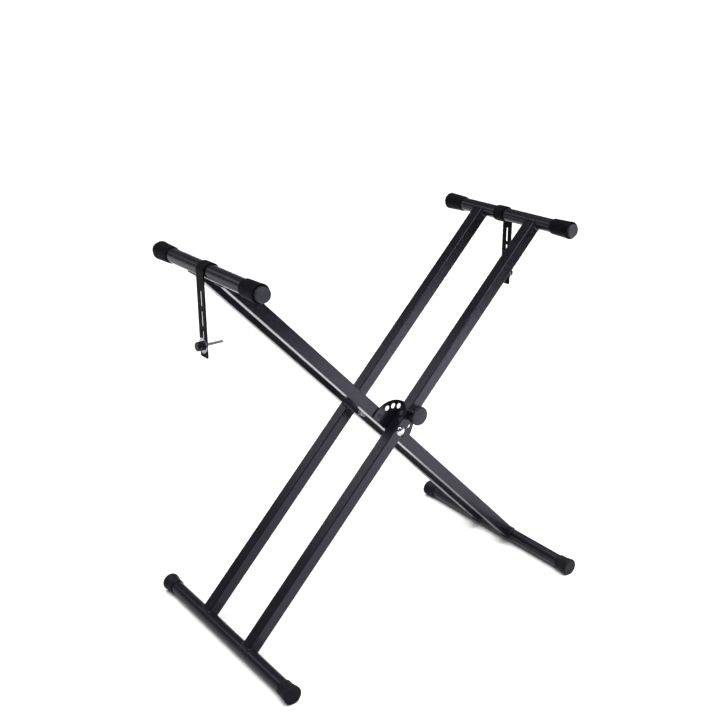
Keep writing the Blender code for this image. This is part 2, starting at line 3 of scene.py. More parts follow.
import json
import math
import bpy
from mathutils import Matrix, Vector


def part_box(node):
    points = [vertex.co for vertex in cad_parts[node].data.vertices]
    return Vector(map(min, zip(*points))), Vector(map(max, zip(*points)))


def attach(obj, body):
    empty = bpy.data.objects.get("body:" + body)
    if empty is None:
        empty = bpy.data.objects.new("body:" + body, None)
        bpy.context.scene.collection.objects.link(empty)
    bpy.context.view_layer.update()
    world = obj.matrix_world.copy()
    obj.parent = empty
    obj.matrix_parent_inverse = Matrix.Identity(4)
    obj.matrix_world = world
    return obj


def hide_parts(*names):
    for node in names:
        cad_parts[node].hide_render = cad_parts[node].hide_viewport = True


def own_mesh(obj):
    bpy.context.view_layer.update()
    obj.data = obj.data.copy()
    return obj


bl_info = {
    "name": "Double X Stand",
    "version": (1, 0, 0),
    "blender": (4, 5, 0),
    "location": "3D View > Sidebar > Stand",
    "description": "Models a double-braced folding X stand piece by piece around its frame",
    "category": "Add Mesh",
}

import bmesh
import bpy
from bpy.props import FloatProperty, FloatVectorProperty, IntProperty, PointerProperty
from mathutils import Matrix, Vector

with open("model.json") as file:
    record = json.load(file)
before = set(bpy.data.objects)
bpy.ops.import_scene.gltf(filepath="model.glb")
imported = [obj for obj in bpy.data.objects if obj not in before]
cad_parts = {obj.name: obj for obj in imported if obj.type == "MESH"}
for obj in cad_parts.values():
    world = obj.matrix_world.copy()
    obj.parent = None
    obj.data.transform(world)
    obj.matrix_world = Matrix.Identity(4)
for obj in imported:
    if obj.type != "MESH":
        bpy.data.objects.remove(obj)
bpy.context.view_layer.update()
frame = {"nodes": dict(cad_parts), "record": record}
JOINTS = {joint["name"]: joint for joint in frame["record"]["behaviour"]["joints"]}

MM = 0.001
X = Vector((1.0, 0.0, 0.0))
Y = Vector((0.0, 1.0, 0.0))
Z = Vector((0.0, 0.0, 1.0))
HALF_TURN = Matrix.Rotation(math.pi, 4, "Z")
NO_TURN = Matrix.Identity(4)
SIDES = ("left", "right")
ENDS = ("front", "rear")
LEGS = ("outer", "inner")
BODY_OF_ARM = {"left": "inner_frame", "right": "outer_frame"}
BODY_OF_FOOT = {"left": "outer_frame", "right": "inner_frame"}


def middle(node):
    """The middle of a CAD node's box."""
    low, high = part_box(node)
    return (low + high) / 2


def span(node):
    """The sizes of a CAD node's box."""
    low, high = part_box(node)
    return high - low


# Places that every piece is set out from.
PIVOT = Vector(JOINTS["legs_fold"]["pos_m"])
ARM = {side: middle("arm_" + side) for side in SIDES}
FOOT = {side: middle("foot_bar_" + side) for side in SIDES}
LEG_FOOT = {"outer": FOOT["left"], "inner": FOOT["right"]}
LEG_ARM = {"outer": ARM["right"], "inner": ARM["left"]}
LEG_AXIS = {leg: (LEG_ARM[leg] - LEG_FOOT[leg]).normalized() for leg in LEGS}
LOCK = Vector((middle("lock_knob").x, 0.0, middle("lock_knob").z))
BAR_RADIUS = span("foot_bar_left").x / 2
TUBE = span("outer_leg_front").y

# Sizes that the frame's boxes don't give.
BAR_WALL = 1.5 * MM
BAR_FACETS = 96
COPE_DEPTH = 0.2 * MM
BOLT_RADIUS = 4.7 * MM
DOME_REACH = 0.93
PIN_RADIUS = 5.0 * MM
PIN_BORE = 5.3 * MM
NOSE_RADIUS = 6.9 * MM
NOSE_PLAY = 0.3 * MM
SPRING_WIRE = 0.4 * MM
SPRING_TURNS = 4
SCREW_BORE = 2.8 * MM
FLUTES = 6
PLATE_RADIUS = 55.0 * MM
PLATE_SKIRT = 11.5 * MM
PLATE_HOLE = 5.5 * MM
PLATE_HOLES = 7
HOLE_IN_USE = 3
HOLE_PITCH = math.radians(19.5)
STRAP_THICKNESS = 2.5 * MM
STRAP_CORNER = 3.0 * MM
STRAP_GAP = 0.3 * MM
EYE_TURN = math.radians(290)
EYE_STEPS = 60
SLOT_WIDTH = 5.4 * MM
SLOT_LENGTH = 30.0 * MM
SLOT_DROPS = (46.7 * MM, 82.7 * MM, 118.7 * MM)
PLAY = 0.1 * MM
SEAT = 0.05 * MM

# Edges sharper than these are rounded, and shown as edges.
ROUND_ANGLE = math.radians(32)
SHARP_ANGLE = math.radians(40)

# Vertices this near a cut go onto it; the operator's own 0.1 mm would bend the cut's edge.
CUT_GAP = 1e-6
# Vertices this near each other become one; the thread's turns meet less exactly.
MERGE_GAP = 1e-6
THREAD_GAP = 1e-5

# Cards that only reflections see, where they are painted shade: place, size and tilt.
BLACK_CARD = ((1.0, -1.42, 0.40), (5.0, 0.80), math.pi / 2)
GREY_CARDS = (
    ((-0.95, 0.50, 2 * MM), (1.3, 2.2), 0.0),
    ((0.29, 0.0, 2 * MM), (0.09, 0.6), 0.0),
)

# Soft lights: place, the point they face, and size.
BACK_LIGHT = ((-1.85, 2.65, 2.55), PIVOT, 1.1)
FLOOR_LIGHT = ((1.0, -1.15, 1.0), (1.0, -1.15, 0.0), 0.6)
KEY_LIGHT = ((-0.65, -2.2, 2.6), PIVOT, 0.6)

FLOOR_SIZE = 120.0
VIEW_REACH = 200.0
SENSOR_WIDTH = 36.0

# The range that most of a noise texture's values keep to.
NOISE_RANGE = {"From Min": 0.35, "From Max": 0.65}


def linear(code):
    """The linear colour of an sRGB hex value."""
    channels = [int(code[i:i + 2], 16) / 255 for i in (0, 2, 4)]
    return tuple(c / 12.92 if c <= 0.04045 else ((c + 0.055) / 1.055) ** 2.4 for c in channels) + (1.0,)


def colour(name, description, code):
    """A colour that a user may change, with its sRGB hex value at first."""
    return FloatVectorProperty(
        name=name, description=description, subtype="COLOR", size=4, min=0.0, max=1.0,
        default=linear(code),
    )


# The sizes and colours that a user may change.


class StandSizes(bpy.types.PropertyGroup):
    tube_corner: FloatProperty(
        name="Tube corner", description="Outer corner radius of the square tube",
        default=2.0 * MM, min=0.0005, max=0.005, unit="LENGTH",
    )
    weld_width: FloatProperty(
        name="Weld width", description="Width of the bead between a leg and its bar",
        default=4.6 * MM, min=0.001, max=0.008, unit="LENGTH",
    )
    weld_ripple: FloatProperty(
        name="Weld ripple", description="Distance between two ripples of the bead",
        default=2.6 * MM, min=0.001, max=0.01, unit="LENGTH",
    )
    plate_edge: FloatProperty(
        name="Plate edge", description="Rounding on the edges of the plate and the straps",
        default=0.35 * MM, min=0.0001, max=0.001, unit="LENGTH",
    )
    thread_pitch: FloatProperty(
        name="Thread pitch", description="Distance between two turns of a screw's thread",
        default=0.8 * MM, min=0.0004, max=0.002, unit="LENGTH",
    )
    facets: IntProperty(
        name="Facets", description="Sides of a turned piece", default=72, min=24, max=128,
    )


class StandColours(bpy.types.PropertyGroup):
    coat: colour("Coat", "Powder coat on the tubes and the plate", "14131A")
    coat_pool: colour("Coat pool", "Places where the powder coat is thicker", "100F15")
    coat_sheen: colour("Coat sheen", "Cool tint of the coat's reflections", "E6E4FF")
    matt_black: colour("Matt black", "Blackened steel of the straps", "060608")
    matt_wear: colour("Matt wear", "Paler places where the straps are handled", "0D0D0F")
    rubber: colour("Rubber", "Caps on the foot bars", "0C0C0F")
    rubber_bloom: colour("Rubber bloom", "Pale bloom on the caps", "151518")
    # The sleeve's black is partly painted shade, of the instrument that rests on the grips.
    sleeve: colour("Sleeve", "Soft grips on the arms", "050507")
    sleeve_bloom: colour("Sleeve bloom", "Pale bloom on the grips", "0A0A0C")
    nylon: colour("Nylon", "Knob, its housing and the screw heads", "08080B")
    nylon_flow: colour("Nylon flow marks", "Paler flow marks in the moulded nylon", "0E0E12")
    # The polythene's paler tone is partly painted light on the plugs' faces.
    polythene: colour("Polythene", "Plugs in the ends of the arms", "27272C")
    polythene_flow: colour("Polythene flow marks", "Paler flow marks in the plugs", "303036")
    zinc: colour("Zinc", "Plated bolts, washers and screws", "BEBEC5")
    zinc_cloud: colour("Zinc cloud", "Duller crystals in the plating", "9E9EA4")
    spring: colour("Spring", "Drawn spring wire", "8F8F92")
    paper: colour("Paper", "Floor of the stage", "F7F7F7")
    grey_card: colour("Grey card", "Cards on the floor, seen only in reflections", "B0B0B0")


class StageSettings(bpy.types.PropertyGroup):
    lens: FloatProperty(
        name="Lens", description="Focal length in mm over a sensor 36 mm wide", default=52.44, min=10.0,
    )
    camera_place: FloatVectorProperty(
        name="Camera place", description="Where the camera stands, from the front pivot's axis",
        default=(-1.17659, -1.54731, 0.84727), subtype="TRANSLATION", unit="LENGTH",
    )
    yaw: FloatProperty(
        name="Yaw", description="Turn of the camera from +Y towards +X",
        default=math.radians(36.74), subtype="ANGLE",
    )
    pitch: FloatProperty(
        name="Pitch", description="Fall of the camera's view below the level",
        default=math.radians(20.72), subtype="ANGLE",
    )
    roll: FloatProperty(
        name="Roll", description="Turn of the camera about its own view",
        default=math.radians(-0.18), subtype="ANGLE",
    )
    horizon: FloatProperty(
        name="Horizon", description="Brightness of the surround near the floor", default=0.40, min=0.0,
    )
    walls: FloatProperty(
        name="Walls", description="Brightness of the surround half way up", default=0.16, min=0.0,
    )
    overhead: FloatProperty(
        name="Overhead", description="Brightness of the soft light straight above", default=4.2, min=0.0,
    )
    back_light: FloatProperty(
        name="Back light", description="Power of the soft light behind, in watts", default=8.0, min=0.0,
    )
    floor_light: FloatProperty(
        name="Floor light", description="Power of the soft light on the floor in front, in watts",
        default=30.0, min=0.0,
    )
    key_light: FloatProperty(
        name="Key light", description="Power of the soft light in front, in watts",
        default=24.0, min=0.0,
    )


# Modelling steps, each with Blender's own operators.


def deselect():
    """Leave edit mode and drop the selection, so that an operator meets only its own piece."""
    if bpy.context.object is not None and bpy.context.object.mode != "OBJECT":
        bpy.ops.object.mode_set(mode="OBJECT")
    bpy.ops.object.select_all(action="DESELECT")


def take(obj):
    """Make a piece the only selected one."""
    deselect()
    bpy.context.view_layer.objects.active = obj
    obj.select_set(True)


def settled(name):
    """Name the active object and put its place into its mesh."""
    obj = bpy.context.object
    obj.name = name
    obj.data.name = name
    bpy.ops.object.transform_apply(location=True, rotation=True, scale=True)
    return obj


def copied(obj, name, start, goal, spin=NO_TURN):
    """A copy with its own mesh, turned about one point and carried from there to another."""
    take(obj)
    bpy.ops.object.duplicate(linked=False)
    bpy.context.object.matrix_world = Matrix.Translation(goal) @ spin @ Matrix.Translation(-start)
    return settled(name)


def pick(obj, kind, test):
    """In edit mode, select the vertices or the edges that pass the test."""
    bpy.ops.mesh.select_mode(type=kind)
    bpy.ops.mesh.select_all(action="DESELECT")
    mesh = bmesh.from_edit_mesh(obj.data)
    for item in {"VERT": mesh.verts, "EDGE": mesh.edges}[kind]:
        if test(item):
            item.select_set(True)
    bmesh.update_edit_mesh(obj.data)


def outward():
    """Turn the faces of the piece in hand outwards, and leave edit mode."""
    bpy.ops.mesh.select_all(action="SELECT")
    bpy.ops.mesh.normals_make_consistent(inside=False)
    bpy.ops.object.mode_set(mode="OBJECT")


def trim(point, normal, **side):
    """Cut the piece in hand along a plane, close it there and stay in edit mode."""
    bpy.ops.object.mode_set(mode="EDIT")
    bpy.ops.mesh.select_all(action="SELECT")
    bpy.ops.mesh.bisect(plane_co=point, plane_no=normal, use_fill=True, threshold=CUT_GAP, **side)


def facing(aim):
    """The turn that points a primitive's +Z along a direction."""
    return aim.to_track_quat("Z", "Y").to_euler()


def modify(obj, kind, **settings):
    """Add a modifier, set it and apply it."""
    take(obj)
    modifier = obj.modifiers.new(kind.lower(), kind)
    for key, value in settings.items():
        setattr(modifier, key, value)
    bpy.ops.object.modifier_apply(modifier=modifier.name)
    return obj


def turned(name, base, aim, rings, hollow=False, facets=None):
    """A turned piece: a circle extruded ring by ring, each ring a radius and a height."""
    deselect()
    radius, height = rings[0]
    bpy.ops.mesh.primitive_circle_add(
        vertices=facets or bpy.context.scene.stand_sizes.facets, radius=radius,
        location=base + aim * height, rotation=facing(aim),
    )
    obj = settled(name)
    bpy.ops.object.mode_set(mode="EDIT")
    bpy.ops.mesh.select_mode(type="EDGE")
    bpy.ops.mesh.select_all(action="SELECT")
    for next_radius, next_height in rings[1:]:
        bpy.ops.mesh.extrude_region_move(TRANSFORM_OT_translate={"value": aim * (next_height - height)})
        if next_radius != radius:
            centre = base + aim * next_height
            bpy.ops.transform.resize(value=(next_radius / radius,) * 3, center_override=centre)
        radius, height = next_radius, next_height
    bpy.ops.mesh.select_all(action="DESELECT")
    bpy.ops.mesh.select_non_manifold()
    if hollow:
        bpy.ops.mesh.bridge_edge_loops()
    else:
        bpy.ops.mesh.fill_holes(sides=0)
    outward()
    return obj


def rod_cutter(base, aim, radius, low, high, facets=48):
    """A rod to cut with, between two heights over a point."""
    deselect()
    bpy.ops.mesh.primitive_cylinder_add(
        vertices=facets, radius=radius, depth=high - low,
        location=base + aim * (low + high) / 2, rotation=facing(aim),
    )
    return settled("cutter")


def carve(obj, cutter):
    """Cut a piece with another, which is then thrown away."""
    modify(obj, "BOOLEAN", operation="DIFFERENCE", solver="EXACT", object=cutter)
    bpy.data.objects.remove(cutter, do_unlink=True)


def soften(obj, width=0.0, segments=3):
    """Round a piece's hard edges and let its flat faces keep their own normals."""
    if width > 0:
        modify(
            obj, "BEVEL", width=width, segments=segments, limit_method="ANGLE",
            angle_limit=ROUND_ANGLE, use_clamp_overlap=True, miter_outer="MITER_ARC",
        )
    take(obj)
    bpy.ops.object.shade_smooth_by_angle(angle=SHARP_ANGLE)
    return modify(obj, "WEIGHTED_NORMAL", keep_sharp=True, weight=80)


def fit_out(obj, body, finish, slot, *nodes):
    """Give a piece its material and its body, and hide the nodes that it stands for."""
    obj.data.materials.clear()
    obj.data.materials.append(finish)
    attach(obj, body)
    if nodes:
        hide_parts(*nodes)


# Materials, each named for what the real one is.


def node(tree, kind, settings=(), links=()):
    """Add one node with its settings and its links."""
    made = tree.nodes.new(kind)
    for key, value in dict(settings).items():
        if isinstance(key, int) or key in made.inputs:
            made.inputs[key].default_value = value
        else:
            setattr(made, key, value)
    for key, source in dict(links).items():
        tree.links.new(source, made.inputs[key])
    return made


def clouded(name, first, second, cloud, gloss, bumps, **fixed):
    """A finish clouded between two colours, uneven in its gloss and grained by bumps.

    cloud is the clouds' size, gloss holds their size and two roughness values, and each
    bump is a size, a strength and a depth, all sizes in metres.
    """
    if name in bpy.data.materials:
        return bpy.data.materials[name]
    material = bpy.data.materials.new(name)
    material.use_nodes = True
    tree = material.node_tree
    shader = tree.nodes["Principled BSDF"]
    for key, value in fixed.items():
        shader.inputs[key.replace("_", " ")].default_value = value
    place = node(tree, "ShaderNodeTexCoord").outputs["Object"]
    centred = node(tree, "ShaderNodeMapping", {"Location": -PIVOT}, {"Vector": place}).outputs["Vector"]

    settings = {"Scale": 1 / cloud, "Detail": 4.0, "Roughness": 0.55}
    clouds = node(tree, "ShaderNodeTexNoise", settings, {"Vector": centred}).outputs["Fac"]
    share = node(tree, "ShaderNodeMapRange", NOISE_RANGE, {"Value": clouds}).outputs["Result"]
    settings = {"data_type": "RGBA", 6: first, 7: second}
    shade = node(tree, "ShaderNodeMix", settings, {0: share}).outputs[2]
    tree.links.new(shade, shader.inputs["Base Color"])

    size, low, high = gloss
    settings = {"Scale": 1 / size, "Detail": 4.0, "Roughness": 0.6}
    patches = node(tree, "ShaderNodeTexNoise", settings, {"Vector": centred}).outputs["Fac"]
    settings = {**NOISE_RANGE, "To Min": low, "To Max": high}
    uneven = node(tree, "ShaderNodeMapRange", settings, {"Value": patches}).outputs["Result"]
    tree.links.new(uneven, shader.inputs["Roughness"])

    normal = None
    for size, strength, depth in bumps:
        settings = {"Scale": 1 / size, "Detail": 1.0}
        grain = node(tree, "ShaderNodeTexNoise", settings, {"Vector": centred}).outputs["Fac"]
        links = {"Height": grain}
        if normal:
            links["Normal"] = normal
        settings = {"Strength": strength, "Distance": depth}
        normal = node(tree, "ShaderNodeBump", settings, links).outputs["Normal"]
    tree.links.new(normal, shader.inputs["Normal"])
    return material


def powder_coated_steel():
    # Polyester powder baked on steel: a semi-gloss black that mirrors softly, broken by an
    # orange peel 2.2 mm from crest to crest and by specks of 0.9 mm.
    shades = bpy.context.scene.stand_colours
    return clouded(
        "powder_coated_steel", shades.coat, shades.coat_pool, 30 * MM, (8 * MM, 0.18, 0.26),
        [(2.2 * MM, 0.35, 0.10 * MM), (0.9 * MM, 0.20, 0.04 * MM)],
        IOR=1.5, Specular_IOR_Level=0.27, Specular_Tint=shades.coat_sheen,
    )


def matt_black_steel():
    # Pressed steel blackened without gloss: hardly any mirror, with a tooth of 1 mm.
    shades = bpy.context.scene.stand_colours
    return clouded(
        "matt_black_steel", shades.matt_black, shades.matt_wear, 15 * MM, (6 * MM, 0.50, 0.62),
        [(1.0 * MM, 0.20, 0.05 * MM)], IOR=1.45, Specular_IOR_Level=0.06,
    )


def moulded_rubber():
    # Black rubber moulded in a blasted tool: dull, with a grain of 0.6 mm and a pale bloom.
    shades = bpy.context.scene.stand_colours
    return clouded(
        "moulded_rubber", shades.rubber, shades.rubber_bloom, 12 * MM, (6 * MM, 0.46, 0.60),
        [(0.6 * MM, 0.35, 0.06 * MM)], IOR=1.5, Specular_IOR_Level=0.12, Specular_Tint=shades.coat_sheen,
    )


def soft_rubber():
    # Foamed rubber sleeve: duller than the caps, with a grain of 0.8 mm. It is also blacker than the
    # caps, partly as painted shade of the instrument that rests on the grips.
    shades = bpy.context.scene.stand_colours
    return clouded(
        "soft_rubber", shades.sleeve, shades.sleeve_bloom, 12 * MM, (6 * MM, 0.52, 0.66),
        [(0.8 * MM, 0.35, 0.06 * MM)], IOR=1.5, Specular_IOR_Level=0.06, Specular_Tint=shades.coat_sheen,
    )


def moulded_nylon():
    # Black glass-filled nylon, injection moulded: satin, with faint flow marks 9 mm wide.
    shades = bpy.context.scene.stand_colours
    return clouded(
        "moulded_nylon", shades.nylon, shades.nylon_flow, 9 * MM, (4 * MM, 0.20, 0.30),
        [(0.5 * MM, 0.25, 0.05 * MM)],
        IOR=1.53, Specular_IOR_Level=0.20, Specular_Tint=shades.coat_sheen,
    )


def moulded_polythene():
    # Black polythene, a little paler and duller than the nylon, with flow marks 7 mm wide. The paler
    # tone is partly painted light, standing in for the light on the plugs' faces that the black card
    # keeps out of their reflections.
    shades = bpy.context.scene.stand_colours
    return clouded(
        "moulded_polythene", shades.polythene, shades.polythene_flow, 7 * MM, (4 * MM, 0.36, 0.48),
        [(0.5 * MM, 0.25, 0.05 * MM)], IOR=1.5, Specular_IOR_Level=0.30, Specular_Tint=shades.coat_sheen,
    )


def zinc_plated_steel():
    # Bright electroplated zinc: almost a mirror, clouded by crystals 2 mm across.
    shades = bpy.context.scene.stand_colours
    return clouded(
        "zinc_plated_steel", shades.zinc, shades.zinc_cloud, 2 * MM, (1.5 * MM, 0.16, 0.32),
        [(0.8 * MM, 0.10, 0.03 * MM)], Metallic=1.0,
    )


def drawn_spring_steel():
    # Hard drawn wire: grey metal, dulled in patches by the die.
    shades = bpy.context.scene.stand_colours
    return clouded(
        "drawn_spring_steel", shades.spring, shades.zinc_cloud, 0.8 * MM, (0.5 * MM, 0.28, 0.42),
        [(0.3 * MM, 0.10, 0.01 * MM)], Metallic=1.0,
    )


def studio_paper():
    # Seamless white paper: an even, matt white with a faint tooth 3 mm across.
    shades = bpy.context.scene.stand_colours
    return clouded(
        "studio_paper", shades.paper, shades.paper, 400 * MM, (200 * MM, 0.85, 0.95),
        [(3 * MM, 0.05, 0.02 * MM)],
    )


def uncoated_card(name, first, second):
    # Uncoated card, black or grey: no shine, with a fibre grain of 2 mm. Seen only in reflections, the
    # cards are painted shade there.
    return clouded(
        name, first, second, 60 * MM, (20 * MM, 0.90, 0.98), [(2 * MM, 0.20, 0.10 * MM)],
        Specular_IOR_Level=0.05,
    )


# One operator for each piece or group of like pieces.


class STAND_OT_legs(bpy.types.Operator):
    """Four square tubes, coped to the round bars at both ends"""

    bl_idname = "stand.legs"
    bl_label = "Legs"

    def execute(self, context):
        first = "outer_leg_front"
        beside = Y * middle(first).y
        low, high = LEG_FOOT["outer"] + beside, LEG_ARM["outer"] + beside
        axis = LEG_AXIS["outer"]
        deselect()
        bpy.ops.mesh.primitive_cube_add(
            size=TUBE, location=(low + high) / 2, rotation=(0.0, math.atan2(axis.x, axis.z), 0.0)
        )
        context.object.scale.z = (high - low).length / TUBE
        leg = settled("tube_" + first)
        bpy.ops.object.mode_set(mode="EDIT")
        pick(leg, "EDGE", lambda edge: edge.calc_length() > 4 * TUBE)
        bpy.ops.mesh.bevel(offset=context.scene.stand_sizes.tube_corner, segments=6)
        bpy.ops.object.mode_set(mode="OBJECT")
        bite = BAR_RADIUS - COPE_DEPTH
        for end in (low, high):
            carve(leg, rod_cutter(end, Y, bite, -TUBE, TUBE, BAR_FACETS))
        legs = {first: leg}
        for name in LEGS:
            for end in ENDS:
                title = "%s_leg_%s" % (name, end)
                if title != first:
                    spin = HALF_TURN if name == "inner" else NO_TURN
                    goal = Y * middle(title).y
                    legs[title] = copied(leg, "tube_" + title, beside, goal, spin)
        outer_face = beside - Y * TUBE / 2
        carve(leg, rod_cutter(LOCK + outer_face, Y, NOSE_RADIUS + NOSE_PLAY, -TUBE / 2, TUBE / 2))
        carve(leg, rod_cutter(LOCK + outer_face, Y, PIN_BORE, TUBE / 4, 2 * TUBE))
        for title, leg in legs.items():
            soften(leg)
            body = title.split("_")[0] + "_frame"
            fit_out(leg, body, powder_coated_steel(), "black_powder_coat", title)
        return {"FINISHED"}


class STAND_OT_welds(bpy.types.Operator):
    """The rippled bead round each joint of a leg and a bar"""

    bl_idname = "stand.welds"
    bl_label = "Welds"

    def execute(self, context):
        places = []
        for name, axis in LEG_AXIS.items():
            for end in ENDS:
                beside = Y * middle("%s_leg_%s" % (name, end)).y
                places.append(("weld_%s_foot_%s" % (name, end), LEG_FOOT[name] + beside, axis))
                places.append(("weld_%s_arm_%s" % (name, end), LEG_ARM[name] + beside, -axis))
        title, start, aim = places[0]
        first = self.bead(title, start, aim, context.scene.stand_sizes)
        beads = [first]
        for title, goal, other in places[1:]:
            lean = math.atan2(other.x, other.z) - math.atan2(aim.x, aim.z)
            beads.append(copied(first, title, start, goal, Matrix.Rotation(lean, 4, "Y")))
        for bead in beads:
            body = bead.name.split("_")[1] + "_frame"
            fit_out(bead, body, powder_coated_steel(), "black_powder_coat")
        return {"FINISHED"}

    def bead(self, title, point, aim, sizes):
        """A circle laid on the seam, then a curve with a round section that ripples."""
        deselect()
        bpy.ops.mesh.primitive_circle_add(
            vertices=144, radius=TUBE / 2, location=point, rotation=facing(aim)
        )
        obj = settled(title)
        across = aim.cross(Y)
        lift = 0.3 * MM
        half = TUBE / 2 + lift
        corner = half * math.sqrt(2) - 0.7 * sizes.tube_corner
        for vertex in obj.data.vertices:
            offset = vertex.co - point
            side, along = offset.dot(across), offset.dot(Y)
            stretch = min(half / max(abs(side), abs(along)), corner / math.hypot(side, along))
            side, along = side * stretch, along * stretch
            rise = math.sqrt((BAR_RADIUS + lift) ** 2 - side * side) + lift
            vertex.co = point + across * side + Y * along + aim * rise
        take(obj)
        bpy.ops.object.convert(target="CURVE")
        obj = bpy.context.object
        obj.data.bevel_depth = sizes.weld_width / 2
        obj.data.bevel_resolution = 4
        travelled = 0.0
        last = None
        for spot in obj.data.splines[0].points:
            here = spot.co.to_3d()
            travelled += (here - last).length if last else 0.0
            last = here
            # The width ripples by a tenth and swells slowly with the welder's hand.
            ripple = math.sin(math.tau * travelled / sizes.weld_ripple)
            swell = math.sin(travelled / (7.3 * MM)) + 0.6 * math.sin(travelled / (3.1 * MM) + 1.0)
            spot.radius = 0.86 + 0.10 * ripple + 0.08 * swell
        bpy.ops.object.convert(target="MESH")
        obj = bpy.context.object
        bpy.ops.object.mode_set(mode="EDIT")
        bpy.ops.mesh.select_all(action="SELECT")
        bpy.ops.mesh.remove_doubles(threshold=MERGE_GAP)
        outward()
        bpy.ops.object.shade_smooth()
        return obj


class STAND_OT_bars(bpy.types.Operator):
    """Two foot bars and two arms of round tube"""

    bl_idname = "stand.bars"
    bl_label = "Bars and arms"

    def execute(self, context):
        inner = BAR_RADIUS - BAR_WALL
        for kind, places, bodies in (("foot_bar_", FOOT, BODY_OF_FOOT), ("arm_", ARM, BODY_OF_ARM)):
            half = span(kind + "left").y / 2
            rings = [(BAR_RADIUS, half), (BAR_RADIUS, -half), (inner, -half), (inner, half)]
            left = turned("tube_%sleft" % kind, places["left"], Y, rings, hollow=True, facets=BAR_FACETS)
            soften(left, 0.3 * MM, 2)
            right = copied(left, "tube_%sright" % kind, places["left"], places["right"])
            for side, tube in zip(SIDES, (left, right)):
                fit_out(tube, bodies[side], powder_coated_steel(), "black_powder_coat", kind + side)
        return {"FINISHED"}


def outer_end(kind, side, end, places):
    """The middle of a piece's outer end, on the axis of its bar."""
    low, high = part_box("%s_%s_%s" % (kind, side, end))
    return Vector((places[side].x, high.y if end == "rear" else low.y, places[side].z))


def end_pieces(kind, prefix, places, bodies, first, finish, slot):
    """Copy a piece from the left front end to the other three, and fit all four out."""
    start = outer_end(kind, "left", "front", places)
    pieces = {("left", "front"): first}
    for side in SIDES:
        for end in ENDS:
            if (side, end) not in pieces:
                name = "%s_%s_%s_%s" % (prefix, kind, side, end)
                spin = HALF_TURN if end == "rear" else NO_TURN
                goal = outer_end(kind, side, end, places)
                pieces[side, end] = copied(first, name, start, goal, spin)
    for (side, end), piece in pieces.items():
        fit_out(piece, bodies[side], finish, slot, "%s_%s_%s" % (kind, side, end))


class STAND_OT_foot_caps(bpy.types.Operator):
    """Four flared rubber caps on the foot bars, each with a moulded flat below"""

    bl_idname = "stand.foot_caps"
    bl_label = "Foot caps"

    def execute(self, context):
        title = "foot_cap_left_front"
        wide = span(title).x / 2
        length = span(title).y
        bore = BAR_RADIUS + PLAY
        rings = [
            (wide - 7.0 * MM, -0.3 * MM), (wide - 6.2 * MM, 0.0), (wide - 3.0 * MM, 0.0),
            (wide - 1.5 * MM, -0.5 * MM), (wide - 0.4 * MM, -1.7 * MM), (wide, -3.2 * MM),
            (wide - 0.1 * MM, -6.0 * MM), (wide - 0.7 * MM, -10.0 * MM),
            (wide - 1.6 * MM, -14.5 * MM), (wide - 2.3 * MM, -19.0 * MM),
            (wide - 2.6 * MM, -24.0 * MM), (wide - 2.6 * MM, -length + 1.0 * MM),
            (wide - 2.9 * MM, -length + 0.3 * MM), (wide - 3.5 * MM, -length), (bore, -length),
            (bore, -6.0 * MM),
        ]
        first = turned("rubber_" + title, outer_end("foot_cap", "left", "front", FOOT), -Y, rings)
        take(first)
        trim(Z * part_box(title)[0].z, Z, clear_inner=True)
        outward()
        soften(first)
        end_pieces("foot_cap", "rubber", FOOT, BODY_OF_FOOT, first, moulded_rubber(), "black_rubber")
        return {"FINISHED"}


class STAND_OT_grips(bpy.types.Operator):
    """Four rubber sleeves on the arms, thicker towards their outer ends"""

    bl_idname = "stand.grips"
    bl_label = "Grips"

    def execute(self, context):
        title = "arm_grip_left_front"
        wide = span(title).x / 2
        length = span(title).y
        bore = BAR_RADIUS + PLAY
        mouth = BAR_RADIUS + 2.1 * MM
        rings = [
            (wide - 1.1 * MM, 0.0), (wide - 0.35 * MM, -0.4 * MM), (wide, -1.2 * MM),
            (wide, -3.4 * MM), (wide - 0.3 * MM, -4.4 * MM), (mouth, -length + 1.6 * MM),
            (mouth - 0.4 * MM, -length + 0.5 * MM), (mouth - 1.1 * MM, -length),
            (bore, -length), (bore, -0.6 * MM), (bore + 0.6 * MM, 0.0),
        ]
        first = turned(
            "rubber_" + title, outer_end("arm_grip", "left", "front", ARM), -Y, rings, hollow=True
        )
        soften(first)
        end_pieces("arm_grip", "rubber", ARM, BODY_OF_ARM, first, soft_rubber(), "black_rubber")
        return {"FINISHED"}


class STAND_OT_plugs(bpy.types.Operator):
    """Four plugs in the ends of the arms, with a shallow dished face"""

    bl_idname = "stand.plugs"
    bl_label = "Arm plugs"

    def execute(self, context):
        title = "arm_plug_left_front"
        wide = span(title).x / 2
        length = span(title).y
        start = outer_end("arm_plug", "left", "front", ARM)
        head = abs(start.y) - span("arm_left").y / 2
        stem = BAR_RADIUS - BAR_WALL - 0.2 * MM
        rings = [
            (wide - 4.0 * MM, -0.5 * MM), (wide - 2.6 * MM, -0.4 * MM), (wide - 2.2 * MM, 0.0),
            (wide - 1.2 * MM, 0.0), (wide - 0.35 * MM, -0.35 * MM), (wide, -1.2 * MM),
            (wide, -head), (stem, -head), (stem, -length + 1.0 * MM),
            (stem - 1.0 * MM, -length),
        ]
        first = turned("moulded_" + title, start, -Y, rings)
        soften(first)
        end_pieces("arm_plug", "moulded", ARM, BODY_OF_ARM, first, moulded_polythene(), "black_plastic")
        return {"FINISHED"}


